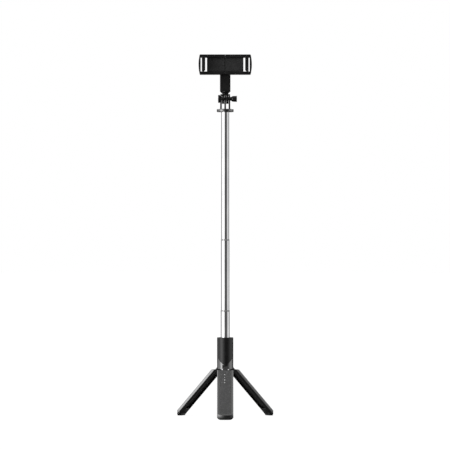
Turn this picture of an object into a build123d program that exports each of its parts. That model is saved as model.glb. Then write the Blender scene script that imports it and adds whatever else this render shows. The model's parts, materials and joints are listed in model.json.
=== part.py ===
from build123d import *
from math import cos, radians, sin, sqrt
import os

# Selfie stick on a three-leg stand, millimetres, +Z up, the stand's feet on Z = 0.
# The front leg and the phone clamp face -Y. The origin is on the floor, under the middle of the
# whole object; the rod's axis stands a little behind it, because one leg reaches further forward.

# ---- driving dimensions: legs and hub ----
leg_angle = 43.6                       # open legs, from the vertical
leg_azimuths = {"front": -90.0, "right": 30.0, "left": 150.0}
gap_azimuths = (-30.0, 90.0, 210.0)    # between the legs
pivot_radius = 9.25                    # leg pins from the rod's axis
pivot_z = 75.5
pin_radius = 0.9
running = 0.05                         # radial clearance of a pin in its eye
hub_radius = 12.15
hub_core_radius = 11.15
hub_bottom = 72.1
tab_tip_z = 77.3
tab_root_z = 88.0
collar_radius = 12.2
collar_inner = 11.25
collar_top = 119.2
collar_roof = 2.2                      # thickness of the collar's top wall
hub_core_top = collar_top - collar_roof - 0.1
leg_half_width = 12.15
leg_face = 4.2                         # outer face of a leg, from its pin, at mid width
leg_crown = 1.45                       # how far the outer face bows out over its width
leg_depth = 7.75                       # outer face to the inner edges of the side walls
leg_top_z = 70.8                       # level top of an open leg
leg_top_gap = 3.9                      # top of the closed leg below its pin
leg_channel_end = 86.0                 # the hollow ends here, below it the toe is solid
foot_reach = 80.5                      # front of a toe from the rod's axis
foot_back = 72.6                       # back of a toe
toe_bow = 22.0                         # radius of a toe's front, seen from above
toe_corner = 5.5                       # its lower corners, seen from the front
pad_height = 2.4
tongue_half_width = 4.0
eye_radius = 1.9
inlay_half_width = 8.25
inlay_top = 10.3                       # inlay's ends, down the leg from the pin
inlay_bottom = 96.2
inlay_depth = 0.9

# ---- driving dimensions: rod ----
wall = 0.3
base_tube_radius = 7.1
tube_step = 0.4                        # each tube is this much smaller in radius than the one around it
tube_spans = {"tube_2": (50.2, 158.2), "tube_3": (143.4, 264.7), "tube_4": (250.6, 457.7)}
ring_height = 2.5
guide_height = 1.8

# ---- driving dimensions: hinge and arm ----
flange_radius = 12.6
flange_bottom = 457.7
flange_top = 461.9
tilt_z = 477.4
bolt_radius = 2.5
lower_prong_radius = 5.0
upper_prong_radius = 7.5
web_bottom = 482.7
web_top = 484.3
stud_radius = 3.175
arm_half_width = 7.9
arm_front = 6.0                        # arm's front and back faces from the rod's axis
arm_split = 3.4                        # joint between arm and its rear cover
arm_bottom = 488.2

# ---- driving dimensions: clamp; depths are measured forwards (-Y) from the rod's axis ----
clamp_z = 528.2
clamp_half_height = 15.0
clamp_corner_x = 38.1
clamp_end_x = 39.9
clamp_back = 6.8
clamp_front = 19.8
recess_half_height = 10.5
window_inner_x = 27.3
window_outer_x = 36.8
cavity_end_x = 25.5
cavity_half_height = 9.0
cavity_front = 13.6
cover_thickness = 1.5
cover_tail_x = 8.0                     # how far the base's back cover reaches behind the slider
rod_row_z = 12.75                      # slide rods above and below the clamp's centre
rod_row_depth = 14.0
slide_rod_radius = 1.1
jaw_pin_x = 33.1
jaw_pin_depth = 18.7
jaw_reach = 43.0
jaw_half_thickness = 1.1
jaw_lip = 2.3
jaw_half_height = 10.3
boss_radius = 4.0

# The rod stands behind the origin so that the feet's box is centred on the origin.
bow_end = foot_reach - toe_bow + sqrt(toe_bow ** 2 - leg_half_width ** 2)
rear_reach = bow_end * sin(radians(30)) + leg_half_width * cos(radians(30))
rod_y = (foot_reach - rear_reach) / 2

UP = Vector(0, 0, 1)


def radial_of(azimuth):
    """Unit vector outwards at an azimuth."""
    return Vector(cos(radians(azimuth)), sin(radians(azimuth)), 0)


def level(z):
    """Horizontal plane at height z, centred on the rod's axis."""
    return Plane(origin=(0, rod_y, z))


def side_plane(azimuth):
    """Upright plane through the rod's axis: local x outwards, local y up."""
    radial = radial_of(azimuth)
    return Plane(origin=(0, rod_y, 0), x_dir=radial, z_dir=radial.cross(UP))


def face_plane(azimuth):
    """Upright plane through the rod's axis that faces outwards: local y up."""
    radial = radial_of(azimuth)
    return Plane(origin=(0, rod_y, 0), x_dir=UP.cross(radial), z_dir=radial)


def leg_plane(azimuth):
    """An open leg's own frame at its pin: x along the pin, y out of the outer face, z up the leg."""
    radial = radial_of(azimuth)
    up_leg = UP * cos(radians(leg_angle)) - radial * sin(radians(leg_angle))
    pin = Vector(0, rod_y, pivot_z) + radial * pivot_radius
    return Plane(origin=pin, x_dir=radial.cross(UP), z_dir=up_leg)


os.makedirs("parts", exist_ok=True)


def finish(piece, name):
    """Label a finished piece and write it."""
    piece.part.label = name
    export_step(piece.part, f"parts/{name}.step")


# ============================== handle ==============================

def tabbed_ring(inner, outer, bottom, top, apex):
    """A ring whose lower edge is cut into three pointed tabs, one over each leg."""
    slope = (tab_root_z - tab_tip_z) / (collar_radius * sin(radians(60)))
    reach = outer + 2
    with BuildPart() as ring:
        with BuildSketch(level(bottom)):
            Circle(outer)
            Circle(inner, mode=Mode.SUBTRACT)
        extrude(amount=top - bottom)
        for azimuth in gap_azimuths:
            with BuildSketch(face_plane(azimuth)):
                with BuildLine():
                    Polyline((0, apex), (reach, apex - slope * reach),
                             (-reach, apex - slope * reach), close=True)
                make_face()
            extrude(amount=reach, mode=Mode.SUBTRACT)
    return ring.part


tab_gap = 0.1
with BuildPart() as collar_sleeve:
    add(tabbed_ring(collar_inner, collar_radius, tab_tip_z, collar_top, tab_root_z))
    with BuildSketch(level(collar_top - collar_roof)):
        Circle(collar_inner + 0.2)
        Circle(base_tube_radius + 0.1, mode=Mode.SUBTRACT)
    extrude(amount=collar_roof)
    chamfer(collar_sleeve.edges().filter_by(GeomType.CIRCLE).group_by(Axis.Z)[-1]
            .sort_by(SortBy.RADIUS)[-1], length=0.4)
finish(collar_sleeve, "collar_sleeve")

slot_top = pivot_z + eye_radius + 0.5
slot_half_width = tongue_half_width + 0.2
pin_half_length = 6.9
screw_z = 100.0
set_screw_radius = 1.2
with BuildPart() as hub_body:
    with BuildSketch(level(hub_bottom)):
        Circle(hub_radius)
    extrude(amount=tab_root_z - hub_bottom)
    add(tabbed_ring(hub_core_radius, hub_radius + 1, tab_tip_z - tab_gap, tab_root_z + 1,
                    tab_root_z - tab_gap), mode=Mode.SUBTRACT)
    with BuildSketch(level(tab_root_z - 1)):
        Circle(hub_core_radius)
    extrude(amount=hub_core_top - tab_root_z + 1)
    with BuildSketch(level(hub_bottom)):
        Circle(base_tube_radius + running)
    extrude(amount=hub_core_top - hub_bottom, mode=Mode.SUBTRACT)
    for azimuth in leg_azimuths.values():
        with BuildSketch(face_plane(azimuth).offset(6.0)):
            with Locations((0, (slot_top + hub_bottom - 4) / 2)):
                RectangleRounded(2 * slot_half_width, slot_top - hub_bottom + 4, 0.6)
        extrude(amount=8, mode=Mode.SUBTRACT)
        with BuildSketch(side_plane(azimuth)):
            with Locations((pivot_radius, pivot_z)):
                Circle(pin_radius)
        extrude(amount=pin_half_length, both=True, mode=Mode.SUBTRACT)
    for azimuth in gap_azimuths:
        with BuildSketch(face_plane(azimuth).offset(6.0)):
            with Locations((0, screw_z)):
                Circle(set_screw_radius)
        extrude(amount=8, mode=Mode.SUBTRACT)
finish(hub_body, "hub_body")

with BuildPart() as leg_pins:
    for azimuth in leg_azimuths.values():
        with BuildSketch(side_plane(azimuth)):
            with Locations((pivot_radius, pivot_z)):
                Circle(pin_radius)
        extrude(amount=pin_half_length, both=True)
finish(leg_pins, "leg_pins")

with BuildPart() as hub_set_screws:
    for azimuth in gap_azimuths:
        with BuildSketch(face_plane(azimuth).offset(base_tube_radius + 0.05)):
            with Locations((0, screw_z)):
                Circle(set_screw_radius)
        extrude(amount=3.8)
        with BuildSketch(face_plane(azimuth).offset(base_tube_radius + 2.6)):
            with Locations((0, screw_z)):
                RegularPolygon(0.6, 6)
        extrude(amount=3, mode=Mode.SUBTRACT)
finish(hub_set_screws, "hub_set_screws")

base_tube_bottom = 6.5
base_tube_top = 118.8
with BuildPart() as base_tube:
    with BuildSketch(level(base_tube_bottom)):
        Circle(base_tube_radius)
        Circle(base_tube_radius - wall, mode=Mode.SUBTRACT)
    extrude(amount=base_tube_top - base_tube_bottom)
finish(base_tube, "base_tube")

with BuildPart() as base_tube_plug:
    with BuildSketch(level(base_tube_bottom - 1)):
        Circle(base_tube_radius)
    extrude(amount=1)
    with BuildSketch(level(base_tube_bottom)):
        Circle(base_tube_radius - wall)
    extrude(amount=1.4)
    chamfer(base_tube_plug.edges().sort_by(Axis.Z)[0], length=0.4)
finish(base_tube_plug, "base_tube_plug")

# ============================== legs ==============================

face_round = (leg_half_width ** 2 + leg_crown ** 2) / (2 * leg_crown)   # radius of the bowed face
face_centre = leg_face - face_round
side_v = leg_face - leg_crown
inner_v = leg_face - leg_depth
wall_v = -1.15                         # below this the side walls slope inwards
inner_u = 9.4
channel_u = 9.2
channel_ceiling = 1.05
core_half_width = 7.4
core_thickness = 2.6
core_top = 9.0
core_bottom = 84.0
leg_screw_ds = (30.0, 70.0)            # core screws, down the leg from the pin
leg_screw_radius = 0.9
leg_screw_head = 1.8


def trim_to_sector(leg, keep_gap=0.25):
    """Cut the part being built so that three closed legs fit side by side round the rod."""
    for side in (1, -1):
        outwards = leg.x_dir * (side * cos(radians(60))) - leg.y_dir * sin(radians(60))
        through = leg.origin - leg.y_dir * (pivot_radius - keep_gap / sin(radians(60)))
        split(bisect_by=Plane(origin=through, z_dir=outwards), keep=Keep.BOTTOM)


def inlay_solid(leg, grow, lift):
    """The panel in a leg's outer face; a grown and lifted copy cuts its recess."""
    length = inlay_bottom - inlay_top
    with BuildPart() as panel:
        with BuildSketch(leg.offset(-inlay_top + 1)):
            with Locations((0, face_centre)):
                Circle(face_round + lift)
                Circle(face_round - inlay_depth, mode=Mode.SUBTRACT)
            with Locations((0, leg_face)):
                Rectangle(2 * leg_half_width, 8, mode=Mode.INTERSECT)
        extrude(amount=-(length + 2))
        with BuildSketch(Plane(origin=leg.origin, x_dir=leg.x_dir, z_dir=leg.y_dir)):
            with Locations((0, inlay_top + length / 2)):
                RectangleRounded(2 * (inlay_half_width + grow), length + 2 * grow, 2.5 + grow)
            with Locations((0, inlay_top + length / 4)):
                RectangleRounded(2 * (inlay_half_width + grow), length / 2 + 2 * grow, 0.6 + grow)
        extrude(amount=12, both=True, mode=Mode.INTERSECT)
    return panel.part


for name, azimuth in leg_azimuths.items():
    leg = leg_plane(azimuth)
    leg_side = Plane(origin=leg.origin, x_dir=leg.y_dir, z_dir=leg.x_dir)
    plan = Plane(origin=(0, rod_y, 0), x_dir=radial_of(azimuth))
    foot_middle = (foot_reach + foot_back) / 2
    outwards = radial_of(azimuth)
    toe_front = Plane(origin=Vector(0, rod_y, 0) + outwards * (foot_reach + 5), x_dir=UP.cross(outwards),
                      z_dir=outwards)

    # toe: an upright block under the leg's end, cut just below the bowed face
    with BuildPart() as toe:
        with BuildSketch(plan):
            with Locations((foot_middle + 0.5, 0)):
                Rectangle(foot_reach - foot_back + 1, 2 * leg_half_width - 1.0)
        extrude(amount=9)
        with BuildSketch(leg.offset(-leg_top_gap)):
            with Locations((0, face_centre + face_round + 8)):
                Rectangle(40, 22)
            with Locations((0, face_centre)):
                Circle(face_round - 0.1, mode=Mode.SUBTRACT)
        extrude(amount=-110, mode=Mode.SUBTRACT)

    with BuildPart() as shell:
        with BuildSketch(leg.offset(-leg_top_gap + 1)) as section:
            with BuildLine():
                ThreePointArc((-leg_half_width, side_v), (0, leg_face), (leg_half_width, side_v))
                Polyline((leg_half_width, side_v), (leg_half_width, wall_v),
                         (inner_u, inner_v), (-inner_u, inner_v),
                         (-leg_half_width, wall_v), (-leg_half_width, side_v))
            make_face()
            fillet(section.vertices().group_by(Axis.Y)[-1], radius=1.6)
        extrude(amount=-108)
        add(toe.part)
        # the end is cut upright, bowed seen from above and with rounded lower corners
        with BuildSketch(plan.offset(-12)):
            with Locations((92, 0)):
                Rectangle(40, 60)
            with Locations((foot_reach - toe_bow, 0)):
                Circle(toe_bow, mode=Mode.SUBTRACT)
        extrude(amount=30, mode=Mode.SUBTRACT)
        with BuildSketch(toe_front):
            with Locations((0, 7)):
                Rectangle(60, 16)
            with Locations((0, 15)):
                RectangleRounded(2 * leg_half_width + 1.0, 30, toe_corner, mode=Mode.SUBTRACT)
        extrude(amount=-20, mode=Mode.SUBTRACT)
        # channel for the core bar, open towards the rod
        with BuildSketch(leg.offset(0)):
            with BuildLine():
                Polyline((-7.5, inner_v - 1), (-7.5, inner_v), (-channel_u, channel_ceiling - 1),
                         (-channel_u, channel_ceiling), (channel_u, channel_ceiling),
                         (channel_u, channel_ceiling - 1), (7.5, inner_v), (7.5, inner_v - 1), close=True)
            make_face()
        extrude(amount=-leg_channel_end, mode=Mode.SUBTRACT)
        add(inlay_solid(leg, 0.1, 1.0), mode=Mode.SUBTRACT)
        for down in leg_screw_ds:
            with BuildSketch(Plane(origin=leg.origin, x_dir=leg.x_dir, z_dir=leg.y_dir)):
                with Locations((0, down)):
                    Circle(leg_screw_radius)
            extrude(amount=2.0, mode=Mode.SUBTRACT)
        split(bisect_by=level(leg_top_z), keep=Keep.BOTTOM)
        split(bisect_by=leg.offset(-leg_top_gap), keep=Keep.BOTTOM)
        split(bisect_by=level(pad_height), keep=Keep.TOP)
        trim_to_sector(leg)
    finish(shell, f"leg_shell_{name}")

    with BuildPart() as inlay:
        add(inlay_solid(leg, 0, -0.12))
    finish(inlay, f"leg_inlay_{name}")

    with BuildPart() as core:
        with BuildSketch(leg.offset(-core_top)):
            with Locations((0, channel_ceiling - core_thickness / 2)):
                Rectangle(2 * core_half_width, core_thickness)
        extrude(amount=core_top - core_bottom)
        with BuildSketch(leg_side):
            Circle(eye_radius)
            with Locations((channel_ceiling - core_thickness / 2, -core_top / 2)):
                Rectangle(core_thickness, core_top)
            Circle(pin_radius + running, mode=Mode.SUBTRACT)
        extrude(amount=tongue_half_width, both=True)
        for down in leg_screw_ds:
            with BuildSketch(Plane(origin=leg.origin, x_dir=leg.x_dir, z_dir=leg.y_dir)):
                with Locations((0, down)):
                    Circle(leg_screw_radius)
            extrude(amount=6, both=True, mode=Mode.SUBTRACT)
            with BuildSketch(Plane(origin=leg.origin, x_dir=leg.x_dir, z_dir=leg.y_dir).offset(-0.5)):
                with Locations((0, down)):
                    Circle(leg_screw_head)
            extrude(amount=-4, mode=Mode.SUBTRACT)
    finish(core, f"leg_core_{name}")

    with BuildPart() as screws:
        for down in leg_screw_ds:
            with BuildSketch(Plane(origin=leg.origin, x_dir=leg.x_dir, z_dir=leg.y_dir).offset(-1.5)):
                with Locations((0, down)):
                    Circle(leg_screw_head)
            extrude(amount=1.0)
            with BuildSketch(Plane(origin=leg.origin, x_dir=leg.x_dir, z_dir=leg.y_dir).offset(-0.5)):
                with Locations((0, down)):
                    Circle(leg_screw_radius)
            extrude(amount=2.5)
    finish(screws, f"leg_screws_{name}")

    with BuildPart() as pad:
        with BuildSketch(plan) as print_outline:
            with Locations((foot_middle, 0)):
                Rectangle(foot_reach - foot_back - 0.8, 2 * leg_half_width - 1.4)
            with Locations((foot_reach - toe_bow, 0)):
                Circle(toe_bow - 0.4, mode=Mode.INTERSECT)
        extrude(amount=pad_height)
        with BuildSketch(toe_front):
            with Locations((0, 7)):
                Rectangle(60, 16)
            with Locations((0, 15)):
                RectangleRounded(2 * leg_half_width + 0.2, 30, toe_corner, mode=Mode.SUBTRACT)
        extrude(amount=-20, mode=Mode.SUBTRACT)
        trim_to_sector(leg, keep_gap=0.6)
    finish(pad, f"foot_pad_{name}")

# ============================== rod ==============================

outer_radius = base_tube_radius
for name, (bottom, top) in tube_spans.items():
    outer_radius = outer_radius - tube_step
    with BuildPart() as tube:
        with BuildSketch(level(bottom)):
            Circle(outer_radius)
            Circle(outer_radius - wall, mode=Mode.SUBTRACT)
        extrude(amount=top - bottom)
    finish(tube, name)
    with BuildPart() as friction_ring:
        with BuildSketch(level(bottom - ring_height)):
            Circle(outer_radius + running)
            Circle(outer_radius - wall, mode=Mode.SUBTRACT)
        extrude(amount=ring_height)
    finish(friction_ring, f"{name}_friction_ring")
    if name != "tube_4":
        with BuildPart() as guide:
            with BuildSketch(level(top)):
                Circle(outer_radius + running)
                Circle(outer_radius - tube_step + running, mode=Mode.SUBTRACT)
            extrude(amount=guide_height)
        finish(guide, f"{name}_guide_ring")

top_tube_bore = outer_radius - wall
plug_bottom = 443.0
mount_screw_radius = 1.5
puck_radius = 9.0
with BuildPart() as rod_top_plug:
    with BuildSketch(level(plug_bottom)):
        Circle(top_tube_bore)
        Circle(mount_screw_radius, mode=Mode.SUBTRACT)
    extrude(amount=flange_bottom - plug_bottom)
finish(rod_top_plug, "rod_top_plug")

with BuildPart() as mount_screw:
    with BuildSketch(level(plug_bottom - 2.6)):
        Circle(2.8)
        RegularPolygon(1.2, 6, mode=Mode.SUBTRACT)
    extrude(amount=1.8)
    with BuildSketch(level(plug_bottom - 0.8)):
        Circle(2.8)
    extrude(amount=0.8)
    with BuildSketch(level(plug_bottom)):
        Circle(mount_screw_radius)
    extrude(amount=flange_top - plug_bottom - 1)
finish(mount_screw, "mount_screw")

with BuildPart() as flange_ring:
    with BuildSketch(level(flange_bottom)):
        Circle(flange_radius)
        Circle(puck_radius, mode=Mode.SUBTRACT)
    extrude(amount=flange_top - flange_bottom)
    fillet(flange_ring.edges().filter_by(GeomType.CIRCLE).sort_by(SortBy.RADIUS)[-2:], radius=0.7)
finish(flange_ring, "flange_ring")

# ============================== tilt hinge ==============================

outer_prong = (5.1, 7.6)               # lower outer prongs, distances from the middle
middle_prong = 1.25
upper_prong = (1.45, 4.9)
boss_outer_radius = 5.85
boss_end = 10.6
nut_flat = 4.0                         # half of the nut's width across flats
nut_thickness = 2.9


def lower_prong_outline():
    """Side view of a lower prong, drawn on an upright plane that looks along the tilt axis."""
    with Locations((0, tilt_z)):
        Circle(lower_prong_radius)
    Polygon((-lower_prong_radius, tilt_z), (-lower_prong_radius, 470), (-7, 465),
            (-7, flange_top), (7, flange_top), (7, 465), (lower_prong_radius, 470),
            (lower_prong_radius, tilt_z), align=None)


def across(x):
    """Upright plane square to the tilt axis at x: local x towards +Y, local y up."""
    return Plane(origin=(x, rod_y, 0), x_dir=(0, 1, 0), z_dir=(1, 0, 0))


with BuildPart() as three_prong_mount:
    with BuildSketch(level(flange_bottom)):
        Circle(puck_radius)
    extrude(amount=flange_top - flange_bottom + 0.4)
    for x_low, x_high in ((-outer_prong[1], -outer_prong[0]), (-middle_prong, middle_prong), outer_prong):
        with BuildSketch(across(x_low)):
            lower_prong_outline()
        extrude(amount=x_high - x_low)
    with BuildSketch(across(-boss_end)):
        with Locations((0, tilt_z)):
            Circle(boss_outer_radius)
    extrude(amount=boss_end - outer_prong[1])
    with BuildSketch(across(-boss_end)):
        with Locations((0, tilt_z)):
            RegularPolygon(nut_flat + 0.05, 6, major_radius=False)
    extrude(amount=nut_thickness, mode=Mode.SUBTRACT)
    with BuildSketch(across(-boss_end)):
        with Locations((0, tilt_z)):
            Circle(bolt_radius + running)
    extrude(amount=2 * boss_end, mode=Mode.SUBTRACT)
    with BuildSketch(level(flange_bottom)):
        Circle(mount_screw_radius)
    extrude(amount=flange_top - flange_bottom - 1, mode=Mode.SUBTRACT)
finish(three_prong_mount, "three_prong_mount")

with BuildPart() as hex_nut:
    with BuildSketch(across(-boss_end)):
        with Locations((0, tilt_z)):
            RegularPolygon(nut_flat, 6, major_radius=False)
            Circle(bolt_radius + running, mode=Mode.SUBTRACT)
    extrude(amount=nut_thickness)
finish(hex_nut, "hex_nut")

knob_start = 8.7
knob_end = 17.6
bolt_tip = 12.6
with BuildPart() as thumb_bolt:
    with BuildSketch(across(-boss_end - 0.3)):
        with Locations((0, tilt_z)):
            Circle(bolt_radius)
    extrude(amount=boss_end + 0.3 + bolt_tip)
    chamfer(thumb_bolt.edges().sort_by(Axis.X)[0], length=0.4)
finish(thumb_bolt, "thumb_bolt")

with BuildPart() as thumb_knob:
    with BuildSketch(across(outer_prong[1] + 0.1)):
        with Locations((0, tilt_z)):
            Circle(3.4)
    extrude(amount=knob_start - outer_prong[1] - 0.1)
    with BuildSketch(across(knob_start)):
        with Locations((0, tilt_z)):
            Circle(3.7)
            with PolarLocations(3.5, 8):
                Circle(0.9)
    extrude(amount=knob_end - knob_start)
    with BuildSketch(across(knob_end - 1.2)):
        with Locations((0, tilt_z)):
            Circle(2.9)
    extrude(amount=1.2, mode=Mode.SUBTRACT)
    with BuildSketch(across(0)):
        with Locations((0, tilt_z)):
            Circle(bolt_radius)
    extrude(amount=bolt_tip, mode=Mode.SUBTRACT)
finish(thumb_knob, "thumb_knob")

with BuildPart() as tilt_adapter:
    with BuildSketch(level(web_bottom)):
        RectangleRounded(14.6, 15.0, 2.0)
    extrude(amount=web_top - web_bottom)
    for x_low in (-upper_prong[1], upper_prong[0]):
        with BuildSketch(across(x_low)):
            with Locations((0, tilt_z)):
                Circle(upper_prong_radius)
            with Locations((0, (tilt_z + web_top - 0.3) / 2)):
                Rectangle(15.0, web_top - 0.3 - tilt_z)
        extrude(amount=upper_prong[1] - upper_prong[0])
    split(bisect_by=level(web_top), keep=Keep.BOTTOM)
    with BuildSketch(across(-8)):
        with Locations((0, tilt_z)):
            Circle(bolt_radius + running)
    extrude(amount=16, mode=Mode.SUBTRACT)
    with BuildSketch(level(web_bottom)):
        Circle(stud_radius)
    extrude(amount=3, mode=Mode.SUBTRACT)
finish(tilt_adapter, "tilt_adapter")

stud_top = 496.5
with BuildPart() as tripod_stud:
    with BuildSketch(level(web_bottom + 0.1)):
        Circle(stud_radius)
    extrude(amount=stud_top - web_bottom - 0.1)
    chamfer(tripod_stud.edges().sort_by(Axis.Z)[-1], length=0.6)
finish(tripod_stud, "tripod_stud")

lock_ring_radius = 6.7
with BuildPart() as lock_ring:
    with BuildSketch(Plane(origin=(0, rod_y, 0), x_dir=(1, 0, 0), z_dir=(0, -1, 0))):
        with BuildLine():
            Polyline((stud_radius + running, web_top + 0.1), (4.6, web_top + 0.1), (4.6, 485.2),
                     (lock_ring_radius, 487.2), (lock_ring_radius, 488.0), (stud_radius + running, 488.0), close=True)
        make_face()
    revolve(axis=Axis((0, rod_y, 0), (0, 0, 1)))
finish(lock_ring, "lock_ring")

# ============================== neck arm ==============================

insert_radius = 4.6
insert_top = 497.8
cap_radius = 5.4
arm_screw_zs = (504.0, 514.0)
arm_screw_radius = 1.1
arm_screw_head = 2.0


def forward(depth):
    """Upright plane that faces forwards (-Y), depth in front of the rod's axis: local y up."""
    return Plane(origin=(0, rod_y - depth, 0), x_dir=(1, 0, 0), z_dir=(0, -1, 0))


def arm_outline():
    """Front view of the arm: a straight bar with a round top about the clamp's pivot."""
    with Locations((0, (arm_bottom + clamp_z) / 2)):
        Rectangle(2 * arm_half_width, clamp_z - arm_bottom)
    with Locations((0, clamp_z)):
        Circle(arm_half_width)


with BuildPart() as neck_arm:
    with BuildSketch(forward(-arm_split)):
        arm_outline()
    extrude(amount=arm_split + arm_front)
    fillet(neck_arm.faces().sort_by(Axis.Y)[0].edges(), radius=1.2)
    with BuildSketch(level(arm_bottom)):
        Circle(insert_radius)
    extrude(amount=insert_top + 0.2 - arm_bottom, mode=Mode.SUBTRACT)
    with BuildSketch(forward(-arm_split)):
        with Locations((0, clamp_z)):
            Circle(boss_radius + running)
    extrude(amount=20, mode=Mode.SUBTRACT)
    with BuildSketch(forward(-arm_split)):
        with Locations((0, clamp_z)):
            Circle(cap_radius + 0.1)
    extrude(amount=arm_split - 1.0, mode=Mode.SUBTRACT)
    for z in arm_screw_zs:
        with BuildSketch(forward(-arm_split)):
            with Locations((0, z)):
                Circle(arm_screw_radius)
        extrude(amount=6, mode=Mode.SUBTRACT)
finish(neck_arm, "neck_arm")

with BuildPart() as arm_cover:
    with BuildSketch(forward(-arm_front)):
        arm_outline()
    extrude(amount=arm_front - arm_split)
    fillet(arm_cover.faces().sort_by(Axis.Y)[-1].edges(), radius=1.2)
    with BuildSketch(level(arm_bottom)):
        Circle(insert_radius)
    extrude(amount=insert_top + 0.2 - arm_bottom, mode=Mode.SUBTRACT)
    with BuildSketch(forward(-arm_front)):
        with Locations((0, clamp_z)):
            Circle(cap_radius + 0.1)
    extrude(amount=6, mode=Mode.SUBTRACT)
    for z in arm_screw_zs:
        with BuildSketch(forward(-arm_front)):
            with Locations((0, z)):
                Circle(arm_screw_head + 0.1)
        extrude(amount=1.5, mode=Mode.SUBTRACT)
        with BuildSketch(forward(-arm_front)):
            with Locations((0, z)):
                Circle(arm_screw_radius)
        extrude(amount=4, mode=Mode.SUBTRACT)
finish(arm_cover, "arm_cover")

with BuildPart() as brass_insert:
    with BuildSketch(level(arm_bottom + 0.1)):
        Circle(insert_radius)
        Circle(stud_radius + running, mode=Mode.SUBTRACT)
    extrude(amount=insert_top - arm_bottom - 0.1)
finish(brass_insert, "brass_insert")

with BuildPart() as arm_screws:
    for z in arm_screw_zs:
        with BuildSketch(forward(-arm_front + 0.2)):
            with Locations((0, z)):
                Circle(arm_screw_head)
        extrude(amount=1.3)
        with BuildSketch(forward(-arm_front + 1.5)):
            with Locations((0, z)):
                Circle(arm_screw_radius)
        extrude(amount=6.5)
        with BuildSketch(forward(-arm_front + 0.2)):
            with Locations((0, z)):
                Rectangle(2.4, 0.5)
                Rectangle(0.5, 2.4)
        extrude(amount=0.7, mode=Mode.SUBTRACT)
finish(arm_screws, "arm_screws")

with BuildPart() as arm_cap:
    with BuildSketch(forward(-arm_front)):
        with Locations((0, clamp_z)):
            Circle(cap_radius)
    extrude(amount=1.0)
    chamfer(arm_cap.edges().sort_by(Axis.Y)[-1], length=0.3)
finish(arm_cap, "arm_cap")

with BuildPart() as pivot_friction_disc:
    with BuildSketch(forward(arm_front + 0.05)):
        with Locations((0, clamp_z)):
            Circle(7.4)
            Circle(boss_radius + 0.1, mode=Mode.SUBTRACT)
    extrude(amount=clamp_back - arm_front - 0.1)
finish(pivot_friction_disc, "pivot_friction_disc")

pivot_screw_radius = 1.5
screw_head_radius = cap_radius - 0.2
with BuildPart() as pivot_screw:
    with BuildSketch(forward(-4.4)):
        with Locations((0, clamp_z)):
            Circle(screw_head_radius)
            RegularPolygon(1.8, 6, mode=Mode.SUBTRACT)
    extrude(amount=1.5)
    with BuildSketch(forward(-2.9)):
        with Locations((0, clamp_z)):
            Circle(screw_head_radius)
    extrude(amount=1.85)
    with BuildSketch(forward(-1.05)):
        with Locations((0, clamp_z)):
            Circle(pivot_screw_radius)
    extrude(amount=6.6)
finish(pivot_screw, "pivot_screw")

# ============================== phone clamp ==============================

def clamp_half_outline(side):
    """Front view of one half of the clamp; side is -1 for the base and 1 for the slider."""
    h = clamp_half_height
    with BuildSketch() as half:
        with BuildLine():
            Polyline((side * seam_x, -h), (side * seam_x, h), (side * clamp_corner_x, h))
            ThreePointArc((side * clamp_corner_x, h), (side * clamp_end_x, 0), (side * clamp_corner_x, -h))
            Line((side * clamp_corner_x, -h), (side * seam_x, -h))
        make_face()
        fillet([v for v in half.vertices() if abs(v.X) > clamp_corner_x - 1], radius=1.2)
    return half.sketch


def cut_block(x_low, x_high, half_height, depth_low, depth_high):
    """Remove a block given by its x range, half height and depths in front of the rod."""
    with BuildSketch(forward(depth_low)) as block:
        with Locations(((x_low + x_high) / 2, clamp_z)):
            Rectangle(x_high - x_low, 2 * half_height)
    extrude(block.sketch, amount=depth_high - depth_low, mode=Mode.SUBTRACT)


def cut_pin_holes(x):
    """Blind holes in both rails for a jaw's hinge pin."""
    with BuildSketch(level(clamp_z - jaw_pin_top)) as hole:
        with Locations((x, -jaw_pin_depth)):
            Circle(pin_radius)
    extrude(hole.sketch, amount=2 * jaw_pin_top, mode=Mode.SUBTRACT)


def cut_rod_bores(x_low, x_high, radius):
    """Bores along the rails for the two slide rods."""
    for z in (clamp_z - rod_row_z, clamp_z + rod_row_z):
        with BuildSketch(across(x_low)) as bore:
            with Locations((-rod_row_depth, z)):
                Circle(radius)
        extrude(bore.sketch, amount=x_high - x_low, mode=Mode.SUBTRACT)


jaw_pin_top = 11.8
seam_x = 0.15
slide_rod_span = (-32.0, 12.0)
plate_seat = 13.0                      # depth of the slider's plate seat
plate_thickness = 1.0
base_plate_seat = cavity_front
with BuildPart() as clamp_base:
    with BuildSketch(forward(clamp_back)):
        with Locations((0, clamp_z)):
            add(clamp_half_outline(-1))
    extrude(amount=clamp_front - clamp_back)
    fillet(clamp_base.faces().sort_by(Axis.Y)[0].edges().filter_by(Axis.X), radius=0.6)
    cut_block(-window_outer_x, 0, recess_half_height, base_plate_seat, clamp_front)
    cut_block(-window_outer_x, -window_inner_x, recess_half_height, clamp_back, clamp_front)
    cut_block(-cavity_end_x, 0, cavity_half_height, clamp_back, base_plate_seat)
    cut_block(-26.6, 0, 12.0, clamp_back, clamp_back + cover_thickness)
    cut_rod_bores(-33.0, 0, slide_rod_radius + running)
    cut_pin_holes(-jaw_pin_x)
finish(clamp_base, "clamp_base")

with BuildPart() as clamp_back_cover:
    with BuildSketch(forward(clamp_back)):
        with Locations(((cover_tail_x - 26.5) / 2, clamp_z)):
            RectangleRounded(cover_tail_x + 26.5, 23.8, 1.0)
    extrude(amount=cover_thickness)
    with BuildSketch(forward(clamp_back)):
        with Locations((0, clamp_z)):
            Circle(boss_radius)
    extrude(amount=-(clamp_back + 0.95))
    with BuildSketch(forward(-2)):
        with Locations((0, clamp_z)):
            Circle(pivot_screw_radius)
    extrude(amount=7.6, mode=Mode.SUBTRACT)
finish(clamp_back_cover, "clamp_back_cover")

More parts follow.
